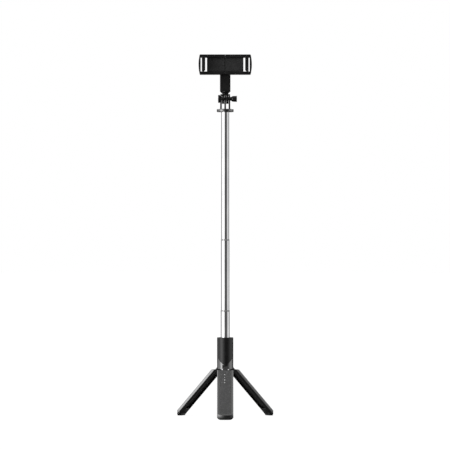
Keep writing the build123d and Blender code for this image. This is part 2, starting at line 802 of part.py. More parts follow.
with BuildPart() as clamp_slider:
    with BuildSketch(forward(clamp_back)):
        with Locations((0, clamp_z)):
            add(clamp_half_outline(1))
    extrude(amount=clamp_front - clamp_back)
    fillet(clamp_slider.faces().sort_by(Axis.Y)[0].edges().filter_by(Axis.X), radius=0.6)
    cut_block(0, window_outer_x, recess_half_height, plate_seat, clamp_front)
    cut_block(window_inner_x, window_outer_x, recess_half_height, clamp_back, clamp_front)
    cut_block(0, cover_tail_x + 0.4, 20, clamp_back, clamp_back + cover_thickness + 0.3)
    cut_block(11.0, cavity_end_x, cavity_half_height, clamp_back, clamp_back + 0.6)
    cut_rod_bores(0, slide_rod_span[1], slide_rod_radius)
    # tongue that runs inside the base: a front wall with a middle rib, springs on both sides
    with BuildSketch(forward(clamp_back + cover_thickness + 0.3)):
        with Locations((-12.1, clamp_z)):
            Rectangle(24.8, 6.0)
    extrude(amount=plate_seat - clamp_back - cover_thickness - 0.3)
    with BuildSketch(forward(plate_seat - 1.2)):
        with Locations((-12.1, clamp_z)):
            Rectangle(24.8, 17.4)
    extrude(amount=1.2)
    cut_pin_holes(jaw_pin_x)
finish(clamp_slider, "clamp_slider")

screw_x = -1.95
with BuildPart() as base_plate:
    with BuildSketch(forward(base_plate_seat)):
        with Locations(((-window_inner_x - 0.6) / 2, clamp_z)):
            Rectangle(window_inner_x - 0.6, 2 * recess_half_height - 0.1)
        with Locations((screw_x, clamp_z)):
            Circle(0.7, mode=Mode.SUBTRACT)
    extrude(amount=plate_thickness)
finish(base_plate, "base_plate")

with BuildPart() as slider_plate:
    with BuildSketch(forward(plate_seat)):
        with Locations(((window_inner_x + 0.2) / 2, clamp_z)):
            Rectangle(window_inner_x - 0.2, 2 * recess_half_height - 0.1)
    extrude(amount=plate_thickness)
finish(slider_plate, "slider_plate")

with BuildPart() as plate_screw:
    with BuildSketch(forward(base_plate_seat + 0.1)):
        with Locations((screw_x, clamp_z)):
            Circle(0.7)
    extrude(amount=plate_thickness - 0.1)
    with BuildSketch(forward(base_plate_seat + plate_thickness)):
        with Locations((screw_x, clamp_z)):
            Circle(1.25)
    extrude(amount=0.35)
finish(plate_screw, "plate_screw")

with BuildPart() as slide_rods:
    for z in (clamp_z - rod_row_z, clamp_z + rod_row_z):
        with BuildSketch(across(slide_rod_span[0])):
            with Locations((-rod_row_depth, z)):
                Circle(slide_rod_radius)
        extrude(amount=slide_rod_span[1] - slide_rod_span[0])
finish(slide_rods, "slide_rods")

spring_radius = 1.4
spring_row_z = 5.9
with BuildPart() as clamp_springs:
    for z in (clamp_z - spring_row_z, clamp_z + spring_row_z):
        with BuildSketch(across(-cavity_end_x)):
            with Locations((-10.2, z)):
                Circle(spring_radius)
                Circle(spring_radius - 0.4, mode=Mode.SUBTRACT)
        extrude(amount=cavity_end_x + seam_x)
finish(clamp_springs, "clamp_springs")

pad_thickness = 1.2
for name, side in (("left", -1), ("right", 1)):
    pin_at = (side * jaw_pin_x, -jaw_pin_depth)
    inner_face = jaw_pin_x - jaw_half_thickness
    with BuildPart() as jaw:
        with BuildSketch(level(clamp_z - jaw_half_height)):
            with Locations(pin_at):
                Circle(1.9)
            with Locations((side * jaw_pin_x, -(jaw_pin_depth + jaw_reach) / 2)):
                Rectangle(2 * jaw_half_thickness, jaw_reach - jaw_pin_depth)
            with Locations((side * (inner_face - jaw_lip / 2 + 0.1), -jaw_reach + 1.2)):
                Rectangle(jaw_lip + 0.2, 2.4)
            with Locations(pin_at):
                Circle(pin_radius + running, mode=Mode.SUBTRACT)
        extrude(amount=2 * jaw_half_height)
        fillet(jaw.edges().filter_by(Axis.Z).group_by(Axis.Y)[0], radius=0.5)
    finish(jaw, f"jaw_{name}")

    with BuildPart() as jaw_pad:
        with BuildSketch(level(clamp_z - jaw_half_height + 0.8)):
            with Locations((side * (inner_face - pad_thickness / 2), -30.3)):
                Rectangle(pad_thickness, 18.4)
        extrude(amount=2 * jaw_half_height - 1.6)
    finish(jaw_pad, f"jaw_pad_{name}")

    with BuildPart() as jaw_pin:
        with BuildSketch(level(clamp_z - jaw_pin_top)):
            with Locations(pin_at):
                Circle(pin_radius)
        extrude(amount=2 * jaw_pin_top)
    finish(jaw_pin, f"jaw_pin_{name}")
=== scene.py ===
# %% [markdown]
# # A selfie stick on a three-leg stand
# The imported model gives every hard part its size and place. This script adds what the hand and the eye
# meet: broken edges, ribs, springs, recesses, and the finish of each material. Everything is in metres,
# with Z up, and each piece that this script adds, except the clamp springs, rides on the body that carries it.

# %% load the frame
import json
import math
import bpy
import bmesh
from mathutils import Matrix, Vector


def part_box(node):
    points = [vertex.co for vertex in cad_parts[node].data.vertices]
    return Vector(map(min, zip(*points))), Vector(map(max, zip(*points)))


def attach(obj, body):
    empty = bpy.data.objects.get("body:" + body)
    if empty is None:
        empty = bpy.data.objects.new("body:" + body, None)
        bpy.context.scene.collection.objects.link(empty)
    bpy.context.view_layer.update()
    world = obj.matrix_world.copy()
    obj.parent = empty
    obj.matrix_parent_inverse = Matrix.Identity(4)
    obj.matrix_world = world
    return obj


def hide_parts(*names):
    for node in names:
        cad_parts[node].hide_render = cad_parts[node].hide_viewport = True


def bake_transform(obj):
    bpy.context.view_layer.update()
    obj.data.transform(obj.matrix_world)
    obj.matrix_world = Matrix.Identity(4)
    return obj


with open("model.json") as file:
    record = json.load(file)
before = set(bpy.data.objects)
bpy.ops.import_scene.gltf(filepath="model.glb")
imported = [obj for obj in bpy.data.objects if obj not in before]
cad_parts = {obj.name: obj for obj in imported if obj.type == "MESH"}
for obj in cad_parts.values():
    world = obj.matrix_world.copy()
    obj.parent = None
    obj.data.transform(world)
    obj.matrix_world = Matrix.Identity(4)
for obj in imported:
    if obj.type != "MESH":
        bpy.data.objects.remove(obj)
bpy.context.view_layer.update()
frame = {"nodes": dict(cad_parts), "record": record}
nodes = frame["nodes"]
slot_of = {part["node"]: part["material_slot"] for part in frame["record"]["subparts"]}
body_of = {node: body for body, group in frame["record"]["behaviour"]["bodies"].items() for node in group}


def middle(node):
    """The centre of a node's box."""
    low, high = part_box(node)
    return (low + high) / 2


rod = middle("tube_4")
print("rod axis at", round(rod.x, 4), round(rod.y, 4))

# %% [markdown]
# ## Studio
# The real stick stands in a white studio. Round steel shows its surroundings as upright stripes, so the
# light is most of its looks: a large soft box at the left, the dark room behind the camera, and a weaker
# fill at the right. A world whose brightness depends on the compass direction gives those stripes with no
# lamps in the way, and it stays still when the camera walks round the object.

# %% camera
camera_distance = 4.75
camera_height = 0.288
camera_aside = -0.0003
scene = bpy.context.scene
camera_data = bpy.data.cameras.new("camera")
camera_data.sensor_width = 36
camera_data.lens = 253
camera_data.clip_end = 60
camera = bpy.data.objects.new("camera", camera_data)
scene.collection.objects.link(camera)
camera.location = (camera_aside, rod.y - camera_distance, camera_height)
camera.rotation_euler = (math.radians(90), 0, 0)
scene.camera = camera
scene.view_settings.view_transform = "Standard"


# %% a helper for node trees
def put(tree, kind, settings=None, **links):
    """Add a node, set its properties, and feed its inputs from values or from other nodes' outputs."""
    node = tree.nodes.new(kind)
    for key, value in (settings or {}).items():
        setattr(node, key, value)
    for key, value in links.items():
        name = key.replace("_", " ")
        socket = node.inputs[int(key[2:])] if key.startswith("in") and key[2:].isdigit() else node.inputs[name]
        if isinstance(value, bpy.types.NodeSocket):
            tree.links.new(value, socket)
        elif isinstance(value, bpy.types.Node):
            tree.links.new(value.outputs[0], socket)
        else:
            socket.default_value = value
    return node


def maths(tree, operation, *values, clamp=False):
    """A Math node on up to three values."""
    fed = {f"in{place}": value for place, value in enumerate(values)}
    return put(tree, "ShaderNodeMath", {"operation": operation, "use_clamp": clamp}, **fed).outputs[0]


# %% world
world = bpy.data.worlds.new("studio")
scene.world = world
world.use_nodes = True
sky = world.node_tree
sky.nodes.clear()
look = put(sky, "ShaderNodeTexCoord").outputs["Generated"]
parts = put(sky, "ShaderNodeSeparateXYZ", Vector=look)
towards = maths(sky, "MULTIPLY", parts.outputs[1], -1.0)
bearing = maths(sky, "ARCTAN2", parts.outputs[0], towards)
turn = maths(sky, "MULTIPLY_ADD", bearing, 1 / (2 * math.pi), 0.5)


def compass_ramp(stops, scale):
    """Brightness round the compass, as a share of scale, from stops of bearing in degrees and brightness."""
    ramp = put(sky, "ShaderNodeValToRGB", Fac=turn)
    while len(ramp.color_ramp.elements) < len(stops):
        ramp.color_ramp.elements.new(0.5)
    for element, (degrees, value) in zip(ramp.color_ramp.elements, stops):
        element.position = degrees / 360 + 0.5
        element.color = (value / scale, value / scale, value / scale, 1)
    return ramp.outputs[0]


# compass bearing from the camera's side (left is negative), brightness
studio = ((-180, 0.02), (-136, 0.04), (-122, 0.9), (-102, 1.2), (-84, 1.3), (-70, 2.8), (-55, 4.4),
          (-38, 2.9), (-23, 1.25), (-9, 0.34), (6, 0.1), (32, 0.08), (48, 0.35), (66, 1.0), (84, 1.3),
          (108, 1.0), (122, 0.5), (136, 0.04), (180, 0.02))
peak = max(value for _, value in studio)
overhead = put(sky, "ShaderNodeMapRange", {"interpolation_type": "SMOOTHSTEP"}, Value=parts.outputs[2],
               From_Min=0.7, From_Max=0.92, To_Min=0.0, To_Max=1.0)
level = maths(sky, "ABSOLUTE", parts.outputs[2])
band = put(sky, "ShaderNodeMapRange", {"interpolation_type": "SMOOTHSTEP"}, Value=level,
           From_Min=0.22, From_Max=0.6, To_Min=peak, To_Max=peak * 0.1)
side = maths(sky, "MULTIPLY", compass_ramp(studio, peak), band.outputs[0])
# two raised boxes, left and right behind the object, light the edges of what faces up
raised = put(sky, "ShaderNodeMapRange", {"interpolation_type": "SMOOTHSTEP"}, Value=parts.outputs[2],
             From_Min=0.14, From_Max=0.26, To_Min=0.0, To_Max=1.0)
boxes = ((-180, 0.02), (-165, 0.1), (-145, 0.5), (-95, 0.6), (-72, 0.2), (0, 0.0), (72, 0.1), (90, 0.42),
         (145, 0.4), (165, 0.05))
box_brightness = 3.6
ceiling_brightness = 0.75
boxed = maths(sky, "MULTIPLY", raised.outputs[0], compass_ramp(boxes, 1.0))
around = maths(sky, "ADD", side, maths(sky, "MULTIPLY", boxed, box_brightness))
strength = put(sky, "ShaderNodeMix", {"data_type": "FLOAT"}, in0=overhead.outputs[0], in2=around,
               in3=ceiling_brightness)
seen = put(sky, "ShaderNodeLightPath").outputs["Is Camera Ray"]
shown = put(sky, "ShaderNodeMix", {"data_type": "FLOAT"}, in0=seen, in2=strength.outputs[0], in3=1.0)
light = put(sky, "ShaderNodeBackground", Strength=shown.outputs[0], Color=(1, 1, 1, 1))
put(sky, "ShaderNodeOutputWorld", Surface=light)

# %% lamp and floor
lamp_data = bpy.data.lights.new("overhead_box", "AREA")
lamp_data.shape = "RECTANGLE"
lamp_data.size, lamp_data.size_y = 1.6, 1.2
lamp_data.energy = 6
lamp = bpy.data.objects.new("overhead_box", lamp_data)
lamp.location = (0.9, rod.y - 0.9, 1.7)
lamp.rotation_euler = (Vector((0, rod.y, 0.25)) - lamp.location).to_track_quat("-Z", "Y").to_euler()
lamp.visible_camera = False
scene.collection.objects.link(lamp)

floor_mesh = bpy.data.meshes.new("floor")
shape = bmesh.new()
bmesh.ops.create_circle(shape, cap_ends=True, segments=96, radius=14)
shape.to_mesh(floor_mesh)
shape.free()
floor = bpy.data.objects.new("floor", floor_mesh)
scene.collection.objects.link(floor)
paper = bpy.data.materials.new("paper_floor")
paper.use_nodes = True
sheet = paper.node_tree
sheet.nodes.clear()
fibres = put(sheet, "ShaderNodeTexNoise", Scale=40.0, Detail=4.0)
tint = put(sheet, "ShaderNodeMapRange", Value=fibres.outputs[0], To_Min=0.12, To_Max=0.125)
white = put(sheet, "ShaderNodeBsdfDiffuse", Color=tint.outputs[0])
lift = put(sheet, "ShaderNodeEmission", Strength=0.92)
bright = put(sheet, "ShaderNodeAddShader", in0=white.outputs[0], in1=lift.outputs[0])
# the floor looks nearly shadeless; the object mirrors a dark patch under it, and the studio beyond that
span = put(sheet, "ShaderNodeVectorMath", {"operation": "LENGTH"},
           in0=put(sheet, "ShaderNodeTexCoord").outputs["Object"]).outputs["Value"]
far = put(sheet, "ShaderNodeMapRange", {"interpolation_type": "SMOOTHSTEP"}, Value=span,
          From_Min=0.1, From_Max=0.2, To_Min=0.0, To_Max=1.0)
dim = put(sheet, "ShaderNodeMixShader", in0=far.outputs[0],
          in1=put(sheet, "ShaderNodeBsdfDiffuse", Color=(0.1, 0.1, 0.1, 1)).outputs[0],
          in2=put(sheet, "ShaderNodeBsdfTransparent").outputs[0])
first = put(sheet, "ShaderNodeLightPath").outputs["Is Camera Ray"]
surface = put(sheet, "ShaderNodeMixShader", in0=first, in1=dim.outputs[0], in2=bright.outputs[0])
put(sheet, "ShaderNodeOutputMaterial", Surface=surface)
floor_mesh.materials.append(paper)


# %% [markdown]
# ## Effects that finishes share
# No edge on the real stick is a perfect corner: each is rounded a little, and handling polishes it. The paler
# colour on the edges stands for that wear and is partly a painted highlight along them. Every moulding has a
# fine grain from its tool, and a tube has draw lines along its length. Each effect is one node group, placed
# in many materials with different numbers, so that all pieces age alike.

# %% a helper for shader groups
def shader_group(name, inputs, outputs):
    """An empty shader node group with named float inputs, and float or colour or vector outputs."""
    group = bpy.data.node_groups.new(name, "ShaderNodeTree")
    for label, value in inputs.items():
        group.interface.new_socket(label, in_out="INPUT", socket_type="NodeSocketFloat").default_value = value
    for label, kind in outputs.items():
        group.interface.new_socket(label, in_out="OUTPUT", socket_type="NodeSocket" + kind)
    return group, group.nodes.new("NodeGroupInput"), group.nodes.new("NodeGroupOutput")


# %% edge wear and painted edge highlight
edge_wear, given, result = shader_group("edge_wear", {"Radius": 0.0004, "Strength": 6.0, "Patchiness": 260.0},
                                        {"Mask": "Float", "Normal": "Vector"})
rounded = put(edge_wear, "ShaderNodeBevel", {"samples": 4}, Radius=given.outputs["Radius"])
plain = put(edge_wear, "ShaderNodeNewGeometry").outputs["Normal"]
agree = put(edge_wear, "ShaderNodeVectorMath", {"operation": "DOT_PRODUCT"}, in0=rounded, in1=plain)
bend = maths(edge_wear, "SUBTRACT", 1.0, agree.outputs["Value"])
strong = maths(edge_wear, "MULTIPLY", bend, given.outputs["Strength"])
place = put(edge_wear, "ShaderNodeTexCoord").outputs["Object"]
patches = put(edge_wear, "ShaderNodeTexNoise", Vector=place, Scale=given.outputs["Patchiness"], Detail=3.0)
broken = put(edge_wear, "ShaderNodeMapRange", Value=patches.outputs[0], From_Min=0.4, From_Max=0.65)
# the mask pales the edges: wear, and partly a painted highlight along them
edge_wear.links.new(maths(edge_wear, "MULTIPLY", strong, broken.outputs[0], clamp=True), result.inputs["Mask"])
edge_wear.links.new(rounded.outputs[0], result.inputs["Normal"])

# %% moulded grain
moulded_grain, given, result = shader_group("moulded_grain", {"Grain": 3200.0, "Mottle": 90.0},
                                            {"Height": "Float", "Tone": "Float"})
place = put(moulded_grain, "ShaderNodeTexCoord").outputs["Object"]
fine = put(moulded_grain, "ShaderNodeTexNoise", Vector=place, Scale=given.outputs["Grain"], Detail=4.0,
           Roughness=0.6)
pits = put(moulded_grain, "ShaderNodeTexVoronoi", Vector=place, Scale=given.outputs["Grain"])
height = maths(moulded_grain, "MULTIPLY_ADD", pits.outputs["Distance"], 0.6, fine.outputs[0])
slow = put(moulded_grain, "ShaderNodeTexNoise", Vector=place, Scale=given.outputs["Mottle"], Detail=5.0)
moulded_grain.links.new(height, result.inputs["Height"])
moulded_grain.links.new(slow.outputs[0], result.inputs["Tone"])

# %% draw lines along a tube
drawn_lines, given, result = shader_group("drawn_lines", {"Lines": 5000.0, "Stretch": 0.012},
                                          {"Height": "Float", "Tone": "Float"})
place = put(drawn_lines, "ShaderNodeTexCoord").outputs["Object"]
axes = put(drawn_lines, "ShaderNodeSeparateXYZ", Vector=place)
squeezed = put(drawn_lines, "ShaderNodeCombineXYZ", X=axes.outputs[0], Y=axes.outputs[1],
               Z=maths(drawn_lines, "MULTIPLY", axes.outputs[2], given.outputs["Stretch"]))
lines = put(drawn_lines, "ShaderNodeTexNoise", Vector=squeezed, Scale=given.outputs["Lines"], Detail=2.0)
smears = put(drawn_lines, "ShaderNodeTexNoise", Vector=place, Scale=45.0, Detail=4.0)
drawn_lines.links.new(lines.outputs[0], result.inputs["Height"])
drawn_lines.links.new(smears.outputs[0], result.inputs["Tone"])

# %% dust
dust, given, result = shader_group("dust", {"Amount": 0.2, "Scale": 700.0}, {"Mask": "Float"})
place = put(dust, "ShaderNodeTexCoord").outputs["Object"]
up = put(dust, "ShaderNodeSeparateXYZ", Vector=put(dust, "ShaderNodeNewGeometry").outputs["Normal"])
facing = put(dust, "ShaderNodeMapRange", Value=up.outputs[2], From_Min=0.2, From_Max=1.0)
specks = put(dust, "ShaderNodeTexNoise", Vector=place, Scale=given.outputs["Scale"], Detail=6.0)
lying = put(dust, "ShaderNodeMapRange", Value=specks.outputs[0], From_Min=0.45, From_Max=0.75)
laid = maths(dust, "MULTIPLY", facing.outputs[0], lying.outputs[0])
dust.links.new(maths(dust, "MULTIPLY", laid, given.outputs["Amount"], clamp=True), result.inputs["Mask"])

# %% speckle
speckle, given, result = shader_group("speckle", {"Size": 1500.0, "Share": 0.3}, {"Mask": "Float"})
place = put(speckle, "ShaderNodeTexCoord").outputs["Object"]
cells = put(speckle, "ShaderNodeTexVoronoi", Vector=place, Scale=given.outputs["Size"])
pick = put(speckle, "ShaderNodeSeparateColor", Color=cells.outputs["Color"]).outputs[0]
chosen = maths(speckle, "LESS_THAN", pick, given.outputs["Share"])
core = put(speckle, "ShaderNodeMapRange", Value=cells.outputs["Distance"], From_Min=0.5, From_Max=0.15)
speckle.links.new(maths(speckle, "MULTIPLY", chosen, core.outputs[0]), result.inputs["Mask"])
print("shared effects:", [group.name for group in bpy.data.node_groups])


# %% [markdown]
# ## Finishes
# A finish is a colour pair that a slow mottle mixes, a roughness range, a grain height, a paler colour where
# edges are worn, which is partly a painted highlight along them, and a little dust on what faces up. One
# helper writes that recipe, so that each finish is a line of numbers. What is the same all over a surface
# stays on the shader's own socket.

# %% the recipe
def colour(value):
    """A grey, or a red, green and blue, as a node colour."""
    return (value, value, value, 1) if isinstance(value, float) else (*value, 1)


def shader(name, dark, light, rough, grain, bump, worn_and_highlit_colour, wear_and_highlight_strength=4.0, dusty=0.05, mottle=90.0, metal=0.0, ior=1.5,
           pattern=moulded_grain, edge=0.0004, flecks=None):
    """A material with mottled colour, graded roughness, a fine surface, worn edges with a painted edge
    highlight and settled dust.
    """
    material = bpy.data.materials.new(name)
    material.use_nodes = True
    tree = material.node_tree
    skin = tree.nodes["Principled BSDF"]
    surface = put(tree, "ShaderNodeGroup", {"node_tree": pattern})
    surface.inputs[0].default_value = grain
    if pattern is moulded_grain:
        surface.inputs["Mottle"].default_value = mottle
    wear_and_highlight_node = put(tree, "ShaderNodeGroup", {"node_tree": edge_wear}, Radius=edge, Strength=wear_and_highlight_strength)
    settled = put(tree, "ShaderNodeGroup", {"node_tree": dust}, Amount=dusty)
    spread = put(tree, "ShaderNodeMapRange", Value=surface.outputs["Tone"], From_Min=0.3, From_Max=0.7)
    tone = put(tree, "ShaderNodeMix", {"data_type": "RGBA"}, in0=spread.outputs[0])
    tone.inputs[6].default_value, tone.inputs[7].default_value = colour(dark), colour(light)
    paint = tone.outputs[2]
    if flecks:
        spots = put(tree, "ShaderNodeGroup", {"node_tree": speckle}, Size=flecks[0], Share=flecks[1])
        fleck = put(tree, "ShaderNodeMix", {"data_type": "RGBA"}, in0=spots.outputs[0], in6=paint)
        fleck.inputs[7].default_value = colour(flecks[2])
        paint = fleck.outputs[2]
    # the paler edge colour is wear and partly a painted edge highlight
    rubbed_and_highlit = put(tree, "ShaderNodeMix", {"data_type": "RGBA"}, in0=wear_and_highlight_node.outputs["Mask"], in6=paint)
    rubbed_and_highlit.inputs[7].default_value = colour(worn_and_highlit_colour)
    powder = put(tree, "ShaderNodeMix", {"data_type": "RGBA"}, in0=settled.outputs[0], in6=rubbed_and_highlit.outputs[2])
    powder.inputs[7].default_value = colour((0.36, 0.35, 0.33))
    gloss = put(tree, "ShaderNodeMapRange", Value=surface.outputs["Tone"], From_Min=0.3, From_Max=0.7,
                To_Min=rough[0], To_Max=rough[1])
    duller = maths(tree, "MULTIPLY_ADD", settled.outputs[0], 0.4, gloss.outputs[0], clamp=True)
    relief = put(tree, "ShaderNodeBump", Strength=1.0, Distance=bump, Height=surface.outputs["Height"],
                 Normal=wear_and_highlight_node.outputs["Normal"])
    tree.links.new(powder.outputs[2], skin.inputs["Base Color"])
    tree.links.new(duller, skin.inputs["Roughness"])
    tree.links.new(relief.outputs[0], skin.inputs["Normal"])
    skin.inputs["Metallic"].default_value = metal
    skin.inputs["IOR"].default_value = ior
    return material


# %% the finishes
# the seventh value of each finish is its paler edge colour: wear, and partly a painted edge highlight
finishes = {
    "satin_black": shader("satin_black", 0.004, 0.007, (0.28, 0.35), 3000.0, 0.000012, 0.04, ior=1.38),
    "plate_black": shader("plate_black", 0.014, 0.019, (0.38, 0.46), 2600.0, 0.00002, 0.05),
    "gloss_black": shader("gloss_black", 0.004, 0.008, (0.10, 0.15), 700.0, 0.0000008, 0.05, wear_and_highlight_strength=1.2,
                          ior=2.1),
    "hinge_black": shader("hinge_black", 0.003, 0.006, (0.22, 0.3), 1500.0, 0.000003, 0.05, ior=1.4),
    "inner_black": shader("inner_black", 0.010, 0.016, (0.5, 0.6), 1800.0, 0.00003, 0.05, dusty=0.15),
    "panel_grey": shader("panel_grey", 0.036, 0.052, (0.55, 0.66), 2200.0, 0.00006, 0.02, wear_and_highlight_strength=5.0,
                         flecks=(1100.0, 0.22, (0.17, 0.17, 0.18))),
    "ring_grey": shader("ring_grey", 0.17, 0.22, (0.35, 0.45), 2000.0, 0.00002, 0.3),
    "tube_steel": shader("tube_steel", (0.52, 0.52, 0.53), (0.60, 0.60, 0.60), (0.09, 0.15), 3500.0, 0.000003,
                         0.8, wear_and_highlight_strength=2.0, dusty=0.03, metal=1.0, pattern=drawn_lines),
    "steel": shader("steel", 0.50, 0.62, (0.2, 0.32), 2500.0, 0.00001, 0.75, wear_and_highlight_strength=3.0, dusty=0.05, metal=1.0),
    "steel_black": shader("steel_black", 0.06, 0.09, (0.28, 0.4), 2200.0, 0.00001, 0.4, metal=1.0),
    "brass": shader("brass", (0.62, 0.42, 0.16), (0.72, 0.52, 0.22), (0.2, 0.34), 2200.0, 0.00001,
                    (0.85, 0.68, 0.36), metal=1.0),
    "rubber_black": shader("rubber_black", 0.014, 0.022, (0.68, 0.8), 1600.0, 0.00008, 0.05, dusty=0.2),
}
missing = set(slot_of.values()) - set(finishes)
assert not missing, missing
for name, node in nodes.items():
    node.data.materials.clear()
    node.data.materials.append(finishes[slot_of[name]])
print(len(finishes), "finishes")


# %% [markdown]
# ## Broken edges
# Moulded and die-cast parts have rounded edges that catch a thin line of light. The design model has true
# corners, so each visible shell is copied, its split triangles are joined into faces, and a Bevel modifier
# rounds every corner sharper than a facet of its curves. Weighted normals keep the flat faces flat.

# %% a helper for softened copies
def finished(mesh, name, body, slot_name, *stands_for):
    """Put a finished mesh in the scene as one piece that rides on its body."""
    mesh.materials.clear()
    mesh.materials.append(finishes[slot_name])
    piece = bpy.data.objects.new(name, mesh)
    scene.collection.objects.link(piece)
    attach(piece, body)
    if stands_for:
        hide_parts(*stands_for)
    return piece


def baked(piece, name):
    """The evaluated shape of an object as a plain mesh; the object itself is removed."""
    bpy.context.view_layer.update()
    seen_by = bpy.context.evaluated_depsgraph_get()
    mesh = bpy.data.meshes.new_from_object(piece.evaluated_get(seen_by))
    mesh.name = name
    bpy.data.objects.remove(piece)
    return mesh


def softened(node, width, segments=3, sharper_than=38):
    """Replace a node by a copy of its shape with rounded edges."""
    mesh = nodes[node].data.copy()
    shape = bmesh.new()
    shape.from_mesh(mesh)
    bmesh.ops.remove_doubles(shape, verts=shape.verts, dist=2e-6)
    bmesh.ops.dissolve_limit(shape, angle_limit=math.radians(0.6), verts=shape.verts, edges=shape.edges)
    for face in shape.faces:
        face.smooth = True
    shape.to_mesh(mesh)
    shape.free()
    rough_copy = bpy.data.objects.new(node + "_soft", mesh)
    scene.collection.objects.link(rough_copy)
    bevel = rough_copy.modifiers.new("edges", "BEVEL")
    bevel.width = width
    bevel.segments = segments
    bevel.limit_method = "ANGLE"
    bevel.angle_limit = math.radians(sharper_than)
    bevel.use_clamp_overlap = True
    weigh = rough_copy.modifiers.new("flat", "WEIGHTED_NORMAL")
    weigh.keep_sharp = True
    mesh = baked(rough_copy, node + "_soft")
    return finished(mesh, node + "_soft", body_of[node], slot_of[node], node)


# %% round the edges of every visible shell
edge_widths = {
    "leg_shell_front": 0.0005, "leg_shell_right": 0.0005, "leg_shell_left": 0.0005,
    "leg_inlay_front": 0.0002, "leg_inlay_right": 0.0002, "leg_inlay_left": 0.0002,
    "foot_pad_front": 0.0004, "foot_pad_right": 0.0004, "foot_pad_left": 0.0004,
    "hub_body": 0.0003, "collar_sleeve": 0.00035, "flange_ring": 0.0005, "three_prong_mount": 0.0004,
    "tilt_adapter": 0.0004, "neck_arm": 0.0006, "arm_cover": 0.0005, "arm_cap": 0.0003,
    "clamp_base": 0.001, "clamp_slider": 0.001, "base_plate": 0.0003, "slider_plate": 0.0003,
    "clamp_back_cover": 0.0004, "jaw_left": 0.0006, "jaw_right": 0.0006, "thumb_bolt": 0.0002,
    "hex_nut": 0.0003, "arm_screws": 0.0002, "plate_screw": 0.00015,
}
for node, width in edge_widths.items():
    piece = softened(node, width)
    print(piece.name, len(piece.data.polygons), "faces")

# %% [markdown]
# ## Screw recesses
# The screws that hold the arm's cover and the clamp's front plates have cross recesses. A recess is a cut,
# so a small cross is built and a Boolean modifier takes it out of each softened head.

# %% a helper for cross recesses
def cut_cross(piece, centre, axis, span, width, depth):
    """Cut a cross recess into a screw head at centre, whose outward direction is axis."""
    shape = bmesh.new()
    turned = Vector((0, 0, 1)).rotation_difference(Vector(axis)).to_matrix().to_4x4()
    for long, short in ((span, width), (width, span)):
        size = Matrix.Diagonal((long, short, 2 * depth, 1))
        bmesh.ops.create_cube(shape, size=1, matrix=Matrix.Translation(centre) @ turned @ size)
    mesh = bpy.data.meshes.new("cross")
    shape.to_mesh(mesh)
    shape.free()
    cutter = bpy.data.objects.new("cross", mesh)
    scene.collection.objects.link(cutter)
    cut = piece.modifiers.new("recess", "BOOLEAN")
    cut.operation, cut.object, cut.solver = "DIFFERENCE", cutter, "EXACT"
    cut.use_self = True
    bpy.context.view_layer.update()
    mesh = bpy.data.meshes.new_from_object(piece.evaluated_get(bpy.context.evaluated_depsgraph_get()))
    piece.modifiers.clear()
    piece.data = mesh
    bpy.data.objects.remove(cutter)


# %% cut the recesses
low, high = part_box("plate_screw")
cut_cross(bpy.data.objects["plate_screw_soft"], Vector(((low.x + high.x) / 2, low.y, (low.z + high.z) / 2)),
          (0, -1, 0), span=0.0014, width=0.00045, depth=0.0006)
low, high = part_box("arm_screws")
head = high.x - low.x
for height in (low.z + head / 2, high.z - head / 2):
    cut_cross(bpy.data.objects["arm_screws_soft"], Vector(((low.x + high.x) / 2, high.y, height)), (0, 1, 0),
              span=head * 0.62, width=head * 0.17, depth=0.0007)
print("arm screw heads", round(head * 1000, 2), "mm across")


# %% [markdown]
# ## Rows and rings of ribs
# The jaw pads grip a phone with moulded ribs, and the lock ring has ribs for the fingers. Both repeat one
# small bar, so a node tree lays the bars out and its named inputs give the count and the sizes. The bars
# are made real at the end of the tree, because instances are lost when the model is saved.

# %% a helper for geometry trees
def geometry_tree(name, inputs):
    """A geometry node tree with named inputs; returns it, its input and output nodes."""
    tree = bpy.data.node_groups.new(name, "GeometryNodeTree")
    tree.interface.new_socket("Geometry", in_out="OUTPUT", socket_type="NodeSocketGeometry")
    for label, kind in inputs.items():
        tree.interface.new_socket(label, in_out="INPUT", socket_type="NodeSocket" + kind)
    return tree, tree.nodes.new("NodeGroupInput"), tree.nodes.new("NodeGroupOutput")


def end_tree(tree, given, shape, result):
    """Make the instances real, smooth them, give them the finish and send them out."""
    real = put(tree, "GeometryNodeRealizeInstances", Geometry=shape)
    smooth = put(tree, "GeometryNodeSetShadeSmooth", Geometry=real)
    painted = put(tree, "GeometryNodeSetMaterial", Geometry=smooth, Material=given.outputs["Material"])
    tree.links.new(painted.outputs[0], result.inputs[0])


def grown(tree, name, **values):
    """Run a geometry tree with these input values and return its result as a plain mesh."""
    holder = bpy.data.objects.new(name, bpy.data.meshes.new(name))
    scene.collection.objects.link(holder)
    nodes_on_it = holder.modifiers.new("build", "NODES")
    nodes_on_it.node_group = tree
    for item in tree.interface.items_tree:
        label = item.name.replace(" ", "_")
        if item.in_out == "INPUT" and label in values:
            nodes_on_it[item.identifier] = values[label]
    return baked(holder, name)


# %% a row of bars
bar_row, given, result = geometry_tree("bar_row", {
    "Start": "Vector", "Step": "Vector", "Count": "Int", "Bar Radius": "Float", "Bar Length": "Float",
    "Turn": "Vector", "Material": "Material"})
points = put(bar_row, "GeometryNodeMeshLine", {"mode": "OFFSET"}, Count=given.outputs["Count"],
             Start_Location=given.outputs["Start"], Offset=given.outputs["Step"])
bar = put(bar_row, "GeometryNodeMeshCylinder", Vertices=12, Radius=given.outputs["Bar Radius"],
          Depth=given.outputs["Bar Length"])
bars = put(bar_row, "GeometryNodeInstanceOnPoints", Points=points, Instance=bar.outputs["Mesh"],
           Rotation=given.outputs["Turn"])
end_tree(bar_row, given, bars.outputs[0], result)

